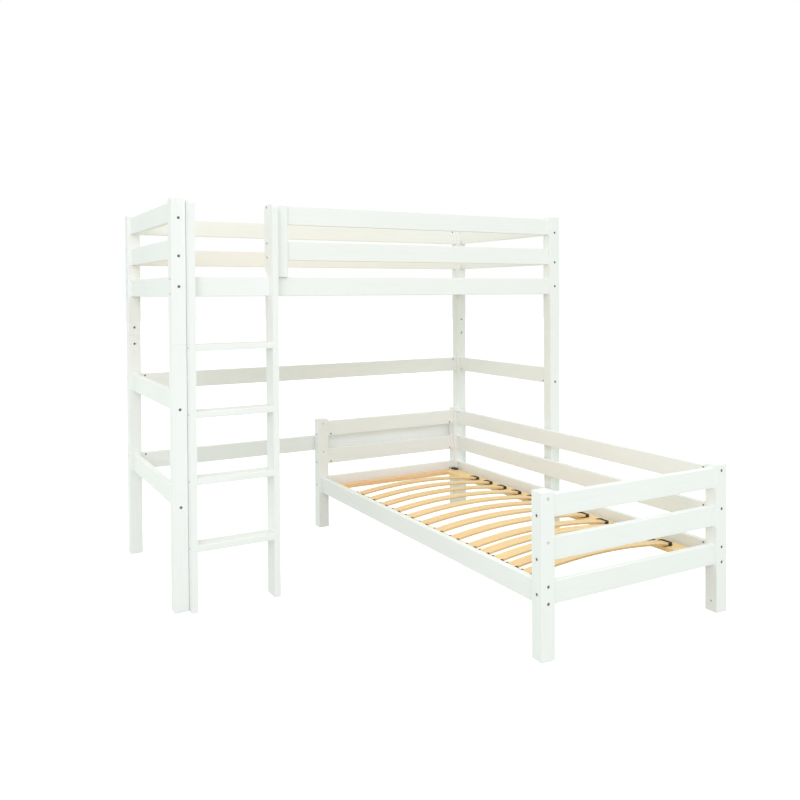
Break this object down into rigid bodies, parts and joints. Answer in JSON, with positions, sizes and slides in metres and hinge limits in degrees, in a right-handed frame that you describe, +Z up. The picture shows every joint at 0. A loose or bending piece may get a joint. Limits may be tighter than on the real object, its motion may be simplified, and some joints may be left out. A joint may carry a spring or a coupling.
{
  "type": "l shaped bunk bed",
  "caption": "High bed with a fixed ladder and guard rails, and a free-standing single bed that stands crosswise under its right end, each with a sprung slatted base.",
  "frame": {"origin": "on the floor, under the middle of the whole plan", "axes": "+Z up, +Y from the single bed's foot towards the high bed's back, +X along the high bed away from the ladder"},
  "size_m": [2.114, 2.169, 1.778],
  "materials": {
    "white_paint": "satin white paint on solid wood, edges slightly rounded",
    "slat_wood": "clear-varnished laminated beech",
    "black_plastic": "moulded matt",
    "zinc_steel": "zinc plated"
  },
  "bodies": {
    "high_bed": {"high_post_front_left_lower": "white_paint", "high_post_front_left_upper": "white_paint", "high_post_front_right_lower": "white_paint", "high_post_front_right_upper": "white_paint", "high_post_back_left_lower": "white_paint", "high_post_back_left_upper": "white_paint", "high_post_back_right_lower": "white_paint", "high_post_back_right_upper": "white_paint", "high_front_bed_rail": "white_paint", "high_front_guard_rail_low": "white_paint", "high_front_guard_rail_top": "white_paint", "high_back_bed_rail": "white_paint", "high_back_guard_rail_low": "white_paint", "high_back_guard_rail_top": "white_paint", "high_back_middle_rail": "white_paint", "high_back_lower_rail": "white_paint", "high_left_end_rail": "white_paint", "high_left_guard_board_low": "white_paint", "high_left_guard_board_top": "white_paint", "high_left_middle_board": "white_paint", "high_left_lower_board": "white_paint", "high_right_end_rail": "white_paint", "high_right_guard_board_low": "white_paint", "high_right_guard_board_top": "white_paint", "high_right_middle_board": "white_paint", "guard_end_post": "white_paint", "ladder_stringer_left": "white_paint", "ladder_stringer_right": "white_paint", "ladder_treads": "white_paint", "high_ledges": "white_paint", "high_bolts": "zinc_steel", "high_barrel_nuts": "zinc_steel", "high_screws": "zinc_steel"},
    "high_slatted_base": {"high_base_beams": "slat_wood", "high_base_crossbars": "slat_wood", "high_slats": "slat_wood", "high_slat_holders": "black_plastic"},
    "single_bed": {"single_post_foot_left": "white_paint", "single_post_foot_right": "white_paint", "single_post_head_left": "white_paint", "single_post_head_right": "white_paint", "single_side_rail_left": "white_paint", "single_side_rail_right": "white_paint", "single_guard_rail_low": "white_paint", "single_guard_rail_top": "white_paint", "single_foot_rail": "white_paint", "single_footboard_low": "white_paint", "single_footboard_top": "white_paint", "single_head_rail": "white_paint", "single_headboard_low": "white_paint", "single_headboard_top": "white_paint", "single_ledges": "white_paint", "single_bolts": "zinc_steel", "single_barrel_nuts": "zinc_steel", "single_screws": "zinc_steel"},
    "single_slatted_base": {"single_base_beams": "slat_wood", "single_base_crossbars": "slat_wood", "single_slats": "slat_wood", "single_slat_holders": "black_plastic"}
  },
  "joints": [
    {"name": "single_bed_pull_out", "type": "slide", "parent": "high_bed", "child": "single_bed", "axis": [0, -1, 0], "range_m": [0, 1]},
    {"name": "single_base_lift", "type": "slide", "parent": "single_bed", "child": "single_slatted_base", "axis": [0, 0, 1], "range_m": [0, 0.25]},
    {"name": "high_base_lift", "type": "slide", "parent": "high_bed", "child": "high_slatted_base", "axis": [0, 0, 1], "range_m": [0, 0.04]}
  ]
}
